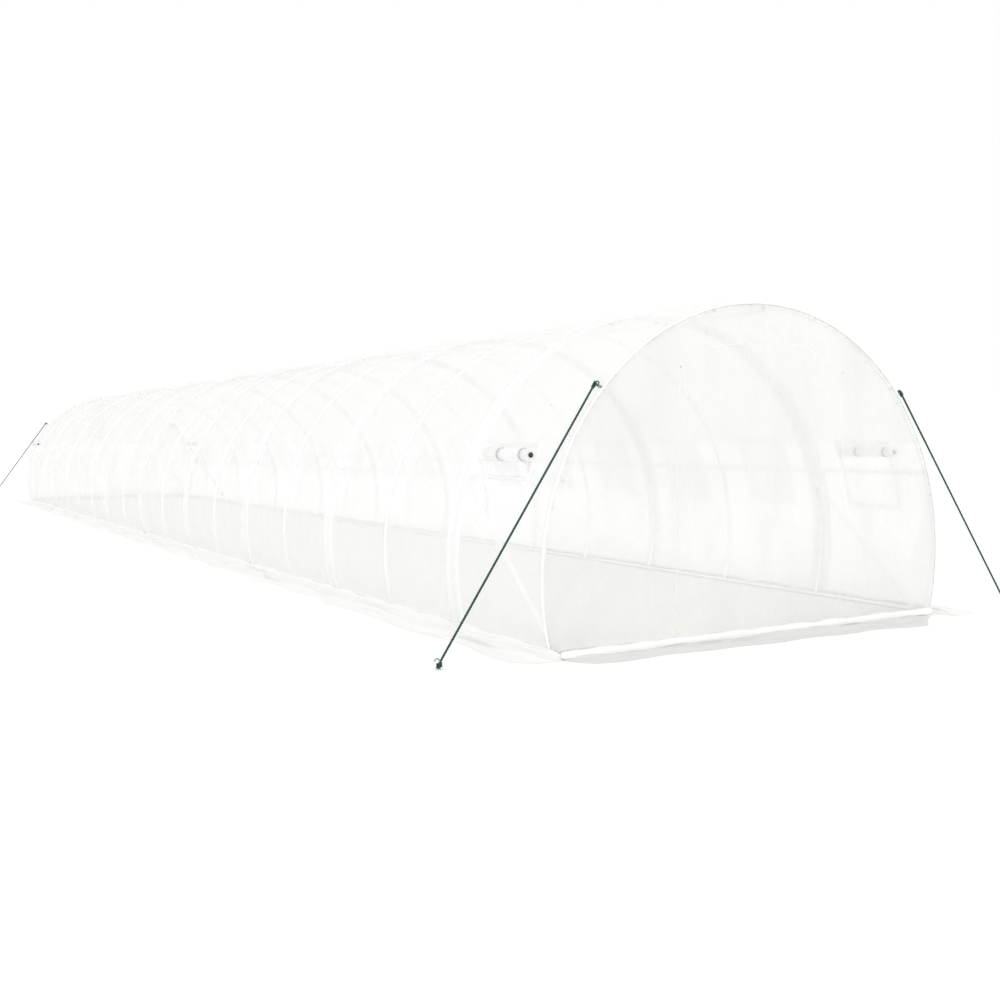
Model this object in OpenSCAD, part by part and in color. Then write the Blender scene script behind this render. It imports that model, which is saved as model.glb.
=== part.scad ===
// Polytunnel greenhouse: bent steel hoops and purlins under a white film cover, with zipped
// film ends, a screened window in every bay, ground skirts and four guy ropes.
// Millimetres. X runs across the tunnel, Y along it with the front end at -Y, Z up from the ground.

/* [Tunnel] */
// Number of bays between hoops
bays = 18; // [4:1:20]
// Distance from hoop to hoop
bay_len = 1000; // [900:50:1200]
// Outside radius of the cover's arch
cover_r = 1550; // [1450:10:1650]
// Height of the arch's centre above the ground
centre_z = 400; // [350:10:450]

/* [Steel frame] */
// Outside diameter of the hoop, purlin and rail tubes
tube_d = 25; // [19:1:32]
// Height of the side purlins above the ground
purlin_z = 925; // [925:5:1050]
// Height at which an end brace meets the second hoop, under the purlin
brace_top_z = 880; // [800:10:880]
// Distance of a brace's foot from the end hoop
brace_foot = 70; // [60:5:150]

/* [Film] */
// Thickness that stands for the thin film
film_t = 4; // [3:0.5:6]
// Width of the reinforcing bands over every second hoop
band_w = 170; // [60:5:200]
// Thickness of the bands and window flaps
band_t = 2; // [1.5:0.5:3]

/* [Windows] */
// Width of a window opening along the tunnel
window_w = 430; // [300:10:500]
// Height of a window's sill
window_sill_z = 690; // [640:10:760]
// Height of a window's head
window_head_z = 1110; // [1050:10:1180]
// Overlap of a closed flap past the opening on each side
flap_lap = 45; // [15:5:60]
// Outside diameter of a rolled-up flap
roll_d = 84; // [50:2:90]
// Width of the ties round a roll
tie_w = 26; // [15:1:35]

/* [Ends] */
// Width of the zip door
door_w = 1300; // [900:50:1500]
// Distance of the door's arched head below the cover
door_head_gap = 220; // [150:10:300]

/* [Ground skirts] */
// Width of the side skirts on the ground
side_skirt_w = 310; // [150:10:350]
// Length of a side skirt past the end hoops
side_skirt_past = 200; // [0:10:250]
// Width of the end skirts on the ground
end_skirt_w = 350; // [200:10:400]
// Cut across the corners of every skirt
skirt_corner = 90; // [40:10:120]

/* [Guy ropes] */
// Rope diameter
rope_d = 14; // [8:1:16]
// Angle round the arch at which a rope is tied
rope_top_a = 41.5; // [38:0.5:46]
// Distance of a peg from the tunnel's centre line
peg_x = 2190; // [2100:10:2500]
// Distance of a peg past the end hoop
peg_past = 70; // [0:10:300]
// Height of a peg above the ground
peg_h = 58; // [56:1:110]

/* [Hidden] */
$fn = 64;
wide_fn = 360;

tunnel_len = bays * bay_len;
front_y = -tunnel_len / 2;
cover_in_r = cover_r - film_t;
hoop_r = cover_in_r - tube_d / 2;
purlin_r = hoop_r - tube_d;
end_y = tunnel_len / 2 + tube_d / 2 + film_t;

// Angles round the arch, from the right-hand horizontal
foot_a = -asin(centre_z / cover_in_r);
film_foot_a = -asin((centre_z - film_t) / cover_r);
purlin_a = asin((purlin_z - centre_z) / purlin_r);
window_sill_a = asin((window_sill_z - centre_z) / cover_r);
window_head_a = asin((window_head_z - centre_z) / cover_r);
crown_a = 60;
hoop_joint_a = [15, 45, 75];

// Base rails lie on the ground against the inner side of the hoops' feet
foot_x = hoop_r * cos(asin((centre_z - tube_d / 2) / hoop_r));
rail_gap = 1;
rail_x = foot_x - tube_d - rail_gap;

// Guy ropes: the ring on the cover, the loop through it, the knot and the turns round the peg
ring_r = 14;
ring_wire_d = 7;
tab_w = 44;
tab_t = 5;
ring_mid_r = ring_r - ring_wire_d / 2;
ring_off = ring_r + ring_wire_d / 2;
loop_d = 8;
loop_r = 12;
loop_off = ring_off + ring_mid_r - ring_wire_d / 2 + loop_r - loop_d / 2;
rope_tie_r = cover_r + loop_off + loop_r;
rope_tie_in = 6;
rope_tie_y = tunnel_len / 2 - rope_tie_in;
knot_d = 22;
peg_d = 8;
hook_r = 13;
turns_d = 28;
turns_h = 30;
turns_z = 6;

// Flap rolls hang just below the window heads
roll_r = cover_r + roll_d / 2;
roll_drop = 0.6 * roll_d;
roll_z = window_head_z - roll_drop;
roll_a = asin((roll_z - centre_z) / roll_r);
roll_core_d = 24;
roll_over = 25;
tie_t = 3;
tie_at = [-165, 80];

film_white = "#f6f7f5";
screen_white = "#e9ece9";
steel_white = "#e4e7e7";
rope_green = "#1f5a44";
peg_grey = "#8f9498";

// A point on the arch at radius r and angle a
function arch_point(r, a, y) = [r * cos(a), y, centre_z + r * sin(a)];

// Distance along the tunnel of hoop i and of the middle of bay i
function hoop_y(i) = front_y + i * bay_len;
function bay_y(i) = front_y + (i + 0.5) * bay_len;

// Mirrors a right-hand piece to the left (-1) or leaves it (1)
module on_side(side) {
    if (side < 0) mirror([1, 0, 0]) children();
    else children();
}

// Mirrors a front piece to the rear (1) or leaves it (-1)
module at_end(end) {
    if (end > 0) mirror([0, 1, 0]) children();
    else children();
}

// Stands a shape that is drawn round the Z axis upright, round the arch's centre line, from y1 towards -Y
module round_arch(from, to, y1) {
    translate([0, y1, centre_z]) rotate([90, 0, 0]) rotate([0, 0, from])
        rotate_extrude(angle = to - from) children();
}

// A round bar from point a to point b
module bar(a, b, d) {
    v = b - a;
    translate(a) rotate([0, acos(v[2] / norm(v)), atan2(v[1], v[0])]) cylinder(h = norm(v), d = d);
}

// A bent tube of one hoop between two angles
module hoop_tube(i, from, to) {
    round_arch(from, to, hoop_y(i)) translate([hoop_r, 0]) circle(d = tube_d);
}

// A curved sheet of inner radius r and thickness t between two angles, from y0 to y1
module arch_sheet(r, t, from, to, y0, y1) {
    round_arch(from, to, y1, $fn = wide_fn) translate([r, 0]) square([t, y1 - y0]);
}

// One tube section on both sides of every hoop
module hoop_tube_pairs(from, to) {
    color(steel_white) for (i = [0 : bays], side = [-1, 1])
        on_side(side) hoop_tube(i, from, to);
}

module hoop_legs() { hoop_tube_pairs(foot_a, hoop_joint_a[0]); }
module hoop_haunches() { hoop_tube_pairs(hoop_joint_a[0], hoop_joint_a[1]); }
module hoop_shoulders() { hoop_tube_pairs(hoop_joint_a[1], hoop_joint_a[2]); }

module hoop_crowns() {
    color(steel_white) for (i = [0 : bays])
        hoop_tube(i, hoop_joint_a[2], 180 - hoop_joint_a[2]);
}

// A purlin runs the whole length against the inner side of the hoops
module purlin(a) {
    past = tube_d / 2;
    color(steel_white)
        bar(arch_point(purlin_r, a, front_y - past), arch_point(purlin_r, a, -front_y + past), tube_d);
}

module side_base_rail(side) {
    color(steel_white)
        bar([side * rail_x, front_y, tube_d / 2], [side * rail_x, -front_y, tube_d / 2], tube_d);
}

module end_base_rail(end) {
    reach = rail_x - tube_d / 2;
    color(steel_white)
        bar([-reach, end * tunnel_len / 2, tube_d / 2], [reach, end * tunnel_len / 2, tube_d / 2], tube_d);
}

// Diagonal tubes that stiffen the end bays, from the base rail up to the second hoop
module end_braces() {
    top_a = asin((brace_top_z - centre_z) / purlin_r);
    foot = [rail_x - tube_d, front_y + brace_foot, tube_d];
    color(steel_white) for (side = [-1, 1], end = [-1, 1])
        on_side(side) at_end(end)
            bar(foot, arch_point(purlin_r, top_a, hoop_y(1)), tube_d);
}

// One strip of the cover along the whole tunnel
module cover_strip(side, from, to) {
    color(film_white) on_side(side) arch_sheet(cover_in_r, film_t, from, to, -end_y, end_y);
}

// A sheet the size of one bay's window opening, with a lap on all sides
module window_patch(i, r, t, lap) {
    lap_a = lap / cover_r * 180 / PI;
    half_w = window_w / 2 + lap;
    arch_sheet(r, t, window_sill_a - lap_a, window_head_a + lap_a, bay_y(i) - half_w, bay_y(i) + half_w);
}

// The cover between the windows: one piece at each hoop, from opening to opening
module window_strip(side) {
    half_w = window_w / 2;
    edge_y = [-end_y, for (i = [0 : bays - 1], s = [-1, 1]) bay_y(i) + s * half_w, end_y];
    color(film_white) on_side(side) for (i = [0 : bays])
        arch_sheet(cover_in_r, film_t, window_sill_a, window_head_a, edge_y[2 * i], edge_y[2 * i + 1]);
}

// Insect net that closes every window opening
module window_screens(side) {
    color(screen_white) on_side(side) for (i = [0 : bays - 1])
        window_patch(i, cover_in_r + film_t / 4, film_t / 2, 0);
}

// Closed flaps over the windows of all but the end bays
module window_flaps(side) {
    color(film_white) on_side(side) for (i = [1 : bays - 2])
        window_patch(i, cover_r, band_t, flap_lap);
}

// A round thing along the tunnel on the rolled-up flap of bay i, from y0 to y1 about the bay's middle
module on_roll(i, y0, y1) {
    translate(arch_point(roll_r, roll_a, bay_y(i) + y1)) rotate([90, 0, 0])
        linear_extrude(y1 - y0) children();
}

roll_half = window_w / 2 + roll_over;

// Rolled-up flaps of the two end bays
module flap_rolls(side) {
    color(film_white) on_side(side) for (i = [0, bays - 1])
        on_roll(i, -roll_half, roll_half) difference() {
            circle(d = roll_d);
            circle(d = roll_core_d);
        }
}

// Bands that hold the rolls up, two on each, at the same places as seen from each end
module flap_ties() {
    color(screen_white) for (side = [-1, 1], end = [-1, 1], y = tie_at)
        on_side(side) at_end(end)
            on_roll(0, y - tie_w / 2, y + tie_w / 2) difference() {
                circle(d = roll_d + 2 * tie_t);
                circle(d = roll_d);
            }
}

// Double-film bands over every second hoop, where the cover's lengths are joined
module cover_seam_bands() {
    band_foot_a = film_foot_a + 1;
    half_w = band_w / 2;
    color(film_white) for (i = [1 : 2 : bays - 1])
        arch_sheet(cover_r, band_t, band_foot_a, 180 - band_foot_a, hoop_y(i) - half_w, hoop_y(i) + half_w);
}

// A flap of film on the ground with its outer corners cut, x and y as for the right-hand side
module skirt(len, w) {
    cut = min(skirt_corner, w / 2);
    linear_extrude(film_t)
        polygon([[0, -len / 2], [w - cut, -len / 2], [w, -len / 2 + cut],
                 [w, len / 2 - cut], [w - cut, len / 2], [0, len / 2]]);
}

skirt_in_x = foot_x + tube_d / 2;

module side_skirt(side) {
    color(film_white) on_side(side) translate([skirt_in_x, 0, 0])
        skirt(tunnel_len + 2 * side_skirt_past, side_skirt_w);
}

module end_skirt(end) {
    color(film_white) at_end(end) translate([0, front_y - tube_d / 2, 0]) rotate([0, 0, -90])
        skirt(2 * rail_x, end_skirt_w);
}

// Outlines of an end wall, drawn with the arch's centre at the origin
module end_outline() {
    intersection() {
        circle(r = cover_in_r, $fn = wide_fn);
        translate([-cover_r, film_t - centre_z]) square([2 * cover_r, 2 * cover_r]);
    }
}

module door_column() {
    translate([-door_w / 2, -cover_r]) square([door_w, 2 * cover_r]);
}

module door_outline() {
    intersection() {
        circle(r = cover_in_r - door_head_gap, $fn = wide_fn);
        translate([-door_w / 2, film_t - centre_z]) square([door_w, 2 * cover_r]);
    }
}

// Gives an end wall's outline its thickness, just outside the end hoop
module end_sheet(end) {
    color(film_white) at_end(end)
        translate([0, -end_y + film_t, centre_z]) rotate([90, 0, 0]) linear_extrude(film_t) children();
}

module end_side_panels(end) {
    end_sheet(end) difference() {
        end_outline();
        door_column();
    }
}

module end_top_panel(end) {
    end_sheet(end) difference() {
        intersection() {
            end_outline();
            door_column();
        }
        translate([-door_w, -2 * cover_r]) square([2 * door_w, 2 * cover_r]);
        circle(r = cover_in_r - door_head_gap, $fn = wide_fn);
    }
}

module zip_door(end) { end_sheet(end) door_outline(); }

// Repeats a front right-hand corner piece at all four corners
module at_corners() {
    for (side = [-1, 1], end = [-1, 1]) on_side(side) at_end(end) children();
}

// Places a piece at the rope's tie point, with X away from the cover and Y along the tunnel
module at_tie() {
    translate(arch_point(cover_r, rope_top_a, -rope_tie_y)) rotate([0, -rope_top_a, 0]) children();
}

rope_top = arch_point(rope_tie_r, rope_top_a, -rope_tie_y);
peg_foot = [peg_x, front_y - peg_past, 0];
rope_end = peg_foot + [0, 0, turns_z + turns_h - rope_d / 2];

// Guy ropes: a loop through the ring, a knot, a taut run and a few turns round the peg
module guy_ropes() {
    color(rope_green) at_corners() difference() {
        union() {
            at_tie() translate([loop_off, 0, 0]) rotate([90, 0, 0]) rotate_extrude()
                translate([loop_r, 0]) circle(d = loop_d);
            translate(rope_top) sphere(d = knot_d);
            bar(rope_top, rope_end, rope_d);
            translate(peg_foot + [0, 0, turns_z]) cylinder(h = turns_h, d = turns_d);
        }
        translate(peg_foot) cylinder(h = peg_h, d = peg_d);
    }
}

// Webbing tabs on the cover, each with a ring that takes the rope's loop
module rope_eyelets() {
    color(peg_grey) at_corners() at_tie() {
        translate([0, -tab_w / 2, -tab_t / 2]) cube([ring_wire_d, tab_w, tab_t]);
        translate([ring_off, 0, 0]) rotate_extrude() translate([ring_mid_r, 0]) circle(d = ring_wire_d);
    }
}

// Steel pegs with a hooked head, from the ground up
module ground_pegs() {
    shank_h = peg_h - hook_r - peg_d / 2;
    color(peg_grey) at_corners() translate(peg_foot) {
        cylinder(h = shank_h, d = peg_d);
        translate([hook_r, 0, shank_h]) rotate([90, 0, 0]) rotate_extrude(angle = 180)
            translate([hook_r, 0]) circle(d = peg_d);
    }
}

hoop_legs();
hoop_haunches();
hoop_shoulders();
hoop_crowns();
purlin(90);  // ridge_purlin
purlin(180 - purlin_a);  // left_purlin
purlin(purlin_a);  // right_purlin
side_base_rail(-1);  // left_base_rail
side_base_rail(1);  // right_base_rail
end_base_rail(-1);  // front_base_rail
end_base_rail(1);  // rear_base_rail
end_braces();
cover_strip(-1, film_foot_a, window_sill_a);  // left_low_film
window_strip(-1);  // left_window_film
cover_strip(-1, window_head_a, crown_a);  // left_shoulder_film
cover_strip(-1, crown_a, 90);  // left_crown_film
cover_strip(1, film_foot_a, window_sill_a);  // right_low_film
window_strip(1);  // right_window_film
cover_strip(1, window_head_a, crown_a);  // right_shoulder_film
cover_strip(1, crown_a, 90);  // right_crown_film
cover_seam_bands();
window_screens(-1);  // left_window_screens
window_screens(1);  // right_window_screens
window_flaps(-1);  // left_window_flaps
window_flaps(1);  // right_window_flaps
flap_rolls(-1);  // left_flap_rolls
flap_rolls(1);  // right_flap_rolls
flap_ties();
side_skirt(-1);  // left_skirt
side_skirt(1);  // right_skirt
end_skirt(-1);  // front_skirt
end_skirt(1);  // rear_skirt
end_side_panels(-1);  // front_side_panels
end_top_panel(-1);  // front_top_panel
zip_door(-1);  // front_zip_door
end_side_panels(1);  // rear_side_panels
end_top_panel(1);  // rear_top_panel
zip_door(1);  // rear_zip_door
guy_ropes();
rope_eyelets();
ground_pegs();
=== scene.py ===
import bmesh
import bpy
import numpy as np
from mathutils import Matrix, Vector


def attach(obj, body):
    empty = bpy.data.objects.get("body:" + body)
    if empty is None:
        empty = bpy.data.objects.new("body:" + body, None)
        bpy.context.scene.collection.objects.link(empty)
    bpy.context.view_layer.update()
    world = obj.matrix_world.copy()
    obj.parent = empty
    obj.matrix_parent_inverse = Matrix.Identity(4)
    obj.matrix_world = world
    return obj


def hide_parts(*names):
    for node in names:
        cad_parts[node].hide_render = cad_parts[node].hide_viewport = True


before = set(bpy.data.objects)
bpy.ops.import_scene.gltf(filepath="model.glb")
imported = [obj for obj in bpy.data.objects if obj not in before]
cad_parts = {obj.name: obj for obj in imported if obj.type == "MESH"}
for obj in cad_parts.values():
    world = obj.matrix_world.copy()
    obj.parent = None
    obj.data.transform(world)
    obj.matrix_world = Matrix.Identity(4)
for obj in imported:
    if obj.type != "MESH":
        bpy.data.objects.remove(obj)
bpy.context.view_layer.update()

# Steel frame: hoops of bent tube a metre apart, purlins along the ridge and both sides, base rails on
# the ground and a brace in each corner bay. Thin-walled tube, hot-dip galvanised, plugged together.
STEEL_NODES = (
    "hoop_legs", "hoop_haunches", "hoop_shoulders", "hoop_crowns", "ridge_purlin", "left_purlin",
    "right_purlin", "left_base_rail", "right_base_rail", "front_base_rail", "rear_base_rail",
    "end_braces",
)


def linear(hex_colour):
    """sRGB hex to linear RGBA: a channel up to 0.04045 is divided by 12.92. Any other has 0.055 added,
    is divided by 1.055 and is raised to the power 2.4."""
    c = np.array([int(hex_colour[i:i + 2], 16) for i in (1, 3, 5)]) / 255
    return (*np.where(c <= 0.04045, c / 12.92, ((c + 0.055) / 1.055) ** 2.4), 1.0)


def add(tree, kind, inputs=None, **settings):
    """Adds a node: settings are its properties, and inputs its sockets, each a value or an output."""
    made = tree.nodes.new(kind)
    for name, value in settings.items():
        setattr(made, name, value)
    for socket, value in (inputs or {}).items():
        if isinstance(value, bpy.types.NodeSocket):
            tree.links.new(value, made.inputs[socket])
        else:
            made.inputs[socket].default_value = value
    return made


def new_material(name):
    """An empty node material and its tree."""
    made = bpy.data.materials.new(name)
    made.use_nodes = True
    made.node_tree.nodes.clear()
    return made, made.node_tree


def finish_nodes(names, material):
    """Gives pieces of the frame itself a material."""
    for name in names:
        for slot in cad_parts[name].material_slots:
            slot.material = material


# Hot-dip galvanised steel: dull zinc with a spangle of crystals about 14 mm wide, lighter and darker.
SPANGLE = 0.014
galvanised, tree = new_material("galvanised_steel")
place = add(tree, "ShaderNodeTexCoord").outputs["Object"]
crystal = add(tree, "ShaderNodeTexVoronoi", {"Vector": place, "Scale": 1 / SPANGLE})
grey = add(tree, "ShaderNodeSeparateColor", {"Color": crystal.outputs["Color"]}).outputs["Red"]
tone = add(tree, "ShaderNodeValToRGB", {"Fac": grey})
for stop, colour in zip(tone.color_ramp.elements, ("#FAFBFB", "#FEFEFE")):
    stop.color = linear(colour)
dull = add(tree, "ShaderNodeMapRange", {"Value": grey, "To Min": 0.42, "To Max": 0.58})
zinc = add(tree, "ShaderNodeBsdfPrincipled", {
    "Base Color": tone.outputs["Color"], "Metallic": 1.0, "Roughness": dull.outputs["Result"]})
add(tree, "ShaderNodeOutputMaterial", {"Surface": zinc.outputs[0]})
finish_nodes(STEEL_NODES, galvanised)

# Joint collars: where two sections of a hoop plug together, the outer tube's mouth is swaged a little
# wider over 40 mm. Pressed in the tube itself, so the same zinc.
HALF_LEN, BAYS = 9.0, 18
CENTRE_Z, HOOP_R, TUBE_R = 0.4, 1.5335, 0.0125
COLLAR_HALF, COLLAR_RIM, COLLAR_SUNK = 0.020, 0.0008, 0.0002
JOINT_ANGLES = np.radians([15, 45, 75, 105, 135, 165])
hoop_y = np.linspace(-HALF_LEN, HALF_LEN, BAYS + 1)


def arch(radius, angle, y):
    """A point at a radius and an angle round the arch's centre line, at a distance along the tunnel."""
    radius, angle, y = np.broadcast_arrays(radius, angle, y)
    return np.stack([radius * np.cos(angle), y, CENTRE_Z + radius * np.sin(angle)], -1)


def skin(name, grids, material, closed=(False, False), keep=None, uv=None, merge=False):
    """A mesh from grids of points, each (rows, columns, 3): every four neighbours make a face.

    closed joins the last row or column to the first, keep drops faces, uv gives metres on a flat cut,
    and merge welds points that meet, which also closes a tube whose end rings shrink to a point.
    """
    corners, faces, flat, count = [], [], [], 0
    for k, grid in enumerate(grids):
        rows, columns = grid.shape[:2]
        index = np.arange(rows * columns).reshape(rows, columns) + count
        index = np.concatenate([index, index[:1]]) if closed[0] else index
        index = np.concatenate([index, index[:, :1]], 1) if closed[1] else index
        quads = np.stack([index[:-1, :-1], index[:-1, 1:], index[1:, 1:], index[1:, :-1]], -1)
        quads = quads.reshape(-1, 4) if keep is None else quads[keep]
        corners.append(grid.reshape(-1, 3))
        faces.append(quads)
        flat.append(np.zeros((rows * columns, 2)) if uv is None else uv[k].reshape(-1, 2))
        count += rows * columns
    corners, faces, flat = np.concatenate(corners), np.concatenate(faces), np.concatenate(flat)
    used, faces = np.unique(faces, return_inverse=True)
    faces = faces.reshape(-1, 4)
    mesh = bpy.data.meshes.new(name)
    mesh.from_pydata(corners[used].tolist(), [], faces.tolist())
    mesh.uv_layers.new(name="metres").data.foreach_set("uv", flat[used][faces.ravel()].ravel())
    if merge:
        work = bmesh.new()
        work.from_mesh(mesh)
        bmesh.ops.remove_doubles(work, verts=work.verts, dist=1e-6)
        work.to_mesh(mesh)
        work.free()
    mesh.polygons.foreach_set("use_smooth", np.ones(len(mesh.polygons), bool))
    mesh.materials.append(material)
    piece = bpy.data.objects.new(name, mesh)
    bpy.context.scene.collection.objects.link(piece)
    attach(piece, "root")
    return piece


def ring(count):
    """Angles once round a circle, without the repeat."""
    return np.arange(count) * 2 * np.pi / count


# A collar's four rings along the hoop: sunk in the tube, out to the rim, along it and back in
collar_along = COLLAR_HALF * np.array([-1.0, -1.0, 1.0, 1.0])[:, None] / HOOP_R
collar_radius = TUBE_R + np.array([-COLLAR_SUNK, COLLAR_RIM, COLLAR_RIM, -COLLAR_SUNK])[:, None]
turn = ring(16)[None, :]
collars = [
    arch(HOOP_R + collar_radius * np.cos(turn), angle + collar_along, y + collar_radius * np.sin(turn))
    for y in hoop_y for angle in JOINT_ANGLES
]
collar_piece = skin("hoop_joint_collars", collars, galvanised, closed=(False, True))

# Purlin bolts: a dome-headed coach bolt through purlin and hoop at every crossing, head inside.
# Galvanised steel, 14 mm across the head.
PURLIN_R = HOOP_R - 2 * TUBE_R
PURLIN_RISE = 0.525
side_purlin = np.arcsin(PURLIN_RISE / PURLIN_R)
purlin_angles = np.array([side_purlin, np.pi / 2, np.pi - side_purlin])
head_radius = np.array([0.0, 0.0040, 0.0062, 0.0070, 0.0070])[:, None]
head_height = np.array([0.0046, 0.0042, 0.0028, 0.0010, -0.0015])[:, None]
turn = -ring(12)[None, :]
bolts = [
    arch(PURLIN_R - TUBE_R - head_height, angle + head_radius * np.cos(turn) / PURLIN_R,
         y + head_radius * np.sin(turn))
    for y in hoop_y for angle in purlin_angles
]
bolt_piece = skin("purlin_bolts", bolts, galvanised, closed=(False, True), merge=True)

# Purlin plugs: moulded caps that close the purlins' cut ends, so that they don't chafe the end film.
# Pale grey low-density polyethylene, pushed in.
GRAINS_PER_MM = 0.9
END_FACE = HALF_LEN + TUBE_R


def moulded(name, colour):
    """Moulded polyethylene: plain colour, with a fine grain from the mould in its gloss."""
    made, tree = new_material(name)
    place = add(tree, "ShaderNodeTexCoord").outputs["Object"]
    grain = add(tree, "ShaderNodeTexNoise", {"Vector": place, "Scale": 1000 * GRAINS_PER_MM})
    matt = add(tree, "ShaderNodeMapRange", {
        "Value": grain.outputs["Fac"], "To Min": 0.45, "To Max": 0.6})
    body = add(tree, "ShaderNodeBsdfPrincipled", {
        "Base Color": linear(colour), "Roughness": matt.outputs["Result"], "IOR": 1.51})
    add(tree, "ShaderNodeOutputMaterial", {"Surface": body.outputs[0]})
    return made


plug_grey = moulded("grey_polyethylene", "#D6D8D6")
cap_radius = np.array([0.0, 0.0050, 0.0075, 0.0080])[:, None]
cap_height = np.array([0.0014, 0.0013, 0.0009, -0.0010])[:, None]
plugs = []
for end in (-1, 1):
    turn = end * ring(20)[None, :]
    plugs += [
        arch(PURLIN_R + cap_radius * np.cos(turn), angle + cap_radius * np.sin(turn) / PURLIN_R,
             end * (END_FACE + cap_height))
        for angle in purlin_angles
    ]
plug_piece = skin("purlin_end_plugs", plugs, plug_grey, closed=(False, True), merge=True)

# Cover: one sheet of polyethylene film drawn over the hoops from ground to ground, tight on each hoop
# and blown out a little between them. A window opening is cut in every bay on both sides.
FILM_HALF = 0.002
FILM_R = HOOP_R + TUBE_R + FILM_HALF
FILM_OUTER_R = FILM_R + FILM_HALF
FILM_FOOT_Z = 0.004
FOOT = -np.arcsin((CENTRE_Z - FILM_FOOT_Z) / FILM_R)
END_Y = END_FACE + 2 * FILM_HALF
BAY = 2 * HALF_LEN / BAYS
SILL_RISE, HEAD_RISE, WINDOW_HALF = 0.29, 0.71, 0.215
SILL, HEAD = np.arcsin(SILL_RISE / FILM_OUTER_R), np.arcsin(HEAD_RISE / FILM_OUTER_R)
WALL_SWELL, RIDGE_SWELL, WAVE_HEIGHT, FLAT_BELOW = 0.007, 0.020, 0.0035, 0.25
rng = np.random.default_rng(41)
WAVES = 14
wave_along = rng.uniform(1.5, 7.5, WAVES)
wave_round = rng.uniform(1.0, 6.5, WAVES) * rng.choice([-1, 1], WAVES)
wave_start = rng.uniform(0, 2 * np.pi, WAVES)


def soft_waves(p, q):
    """Slow unevenness of about unit size: a sum of sine waves in p and q, metres, at fixed directions."""
    p, q = np.broadcast_arrays(p, q)
    phase = p[..., None] * wave_along + q[..., None] * wave_round + wave_start
    return np.sin(phase).sum(-1) / np.sqrt(WAVES / 2)


def cover_rise(angle, y):
    """How far the film stands out from the hoops: nothing on a hoop, a smooth swell between hoops that
    grows from the walls to the ridge, and slow waves that fade out on the hoops and at the ground."""
    between = np.abs(np.sin(np.pi * (y + HALF_LEN) / BAY))
    high = np.clip(np.sin(angle), 0, 1) ** 2
    ground = np.clip((np.sin(angle) * FILM_R + CENTRE_Z) / FLAT_BELOW, 0, 1)
    swell = (WALL_SWELL + RIDGE_SWELL * high) * between ** 0.8
    return ground * (swell + WAVE_HEIGHT * between * soft_waves(y, FILM_R * angle))


def cover_point(angle, y, out=0.0):
    """A point on the cover, out metres outside it."""
    angle, y = np.broadcast_arrays(angle, y)
    return arch(FILM_R + cover_rise(angle, y) + out, angle, y)


def film(name, tint, clear, back=0.5, crease=0.03, cloud=(2.2, 2.2, 2.2), uneven=0.04, shade=0.98):
    """Polyethylene film: the share clear of the light goes straight through. Of the rest, the share back
    is scattered on through the film, and what is left comes off its face. crease is the width in metres
    of its fine unevenness. Over clouds, cloud of them to a metre each way, the clear share drifts by
    uneven to both sides, and the tint goes down to shade times itself, as painted shade of soft folds."""
    made, tree = new_material(name)
    place = add(tree, "ShaderNodeTexCoord").outputs["Object"]
    fine = add(tree, "ShaderNodeTexNoise", {"Vector": place, "Scale": 1 / crease, "Detail": 3.0})
    spread = add(tree, "ShaderNodeVectorMath", {0: place, 1: cloud}, operation="MULTIPLY")
    cloudy = add(tree, "ShaderNodeTexNoise", {"Vector": spread.outputs[0], "Scale": 1.0, "Detail": 2.0})
    bump = add(tree, "ShaderNodeBump", {
        "Height": fine.outputs["Fac"], "Strength": 0.12, "Distance": 0.002})
    tone = add(tree, "ShaderNodeValToRGB", {"Fac": cloudy.outputs["Fac"]})
    full = np.array(linear(tint)[:3])
    for stop, at, colour in zip(tone.color_ramp.elements, (0.3, 0.7), (shade * full, full)):
        stop.position = at
        stop.color = (*colour, 1.0)
    gloss = add(tree, "ShaderNodeMapRange", {
        "Value": fine.outputs["Fac"], "To Min": 0.3, "To Max": 0.45})
    face = add(tree, "ShaderNodeBsdfPrincipled", {
        "Base Color": tone.outputs["Color"], "Roughness": gloss.outputs["Result"], "IOR": 1.51,
        "Normal": bump.outputs["Normal"]})
    through = add(tree, "ShaderNodeBsdfTranslucent", {
        "Color": tone.outputs["Color"], "Normal": bump.outputs["Normal"]})
    milky = add(tree, "ShaderNodeMixShader", {0: back, 1: face.outputs[0], 2: through.outputs[0]})
    see = add(tree, "ShaderNodeBsdfTransparent", {"Color": linear("#FDFDFC")})
    share = add(tree, "ShaderNodeMapRange", {
        "Value": cloudy.outputs["Fac"], "From Min": 0.35, "From Max": 0.65, "To Min": clear - uneven,
        "To Max": clear + uneven})
    both = add(tree, "ShaderNodeMixShader", {
        0: share.outputs["Result"], 1: milky.outputs[0], 2: see.outputs[0]})
    add(tree, "ShaderNodeOutputMaterial", {"Surface": both.outputs[0]})
    return made


# White polyethylene film: milky, so what is behind shows softly, with a low waxy gloss and a faint
# painted shade of soft folds in its clouds.
cover_film = film("white_polyethylene_film", "#FEFEFE", 0.54, back=0.5)
EDGE_STEPS, WINDOW_STEPS = 8, 10
bay_steps = np.concatenate([
    np.linspace(0, BAY / 2 - WINDOW_HALF, EDGE_STEPS, endpoint=False),
    np.linspace(BAY / 2 - WINDOW_HALF, BAY / 2 + WINDOW_HALF, WINDOW_STEPS, endpoint=False),
    np.linspace(BAY / 2 + WINDOW_HALF, BAY, EDGE_STEPS, endpoint=False),
])
along = np.concatenate([[-END_Y], (hoop_y[:-1, None] + bay_steps).ravel(), [HALF_LEN, END_Y]])
low_wall = np.linspace(FOOT, SILL, 14, endpoint=False)
window_rise = np.linspace(SILL, HEAD, 8, endpoint=False)
roof = np.linspace(HEAD, np.pi / 2, 34, endpoint=False)
half_round = np.concatenate([low_wall, window_rise, roof])
round_arch = np.concatenate([half_round, [np.pi / 2], np.pi - half_round[::-1]])

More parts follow.
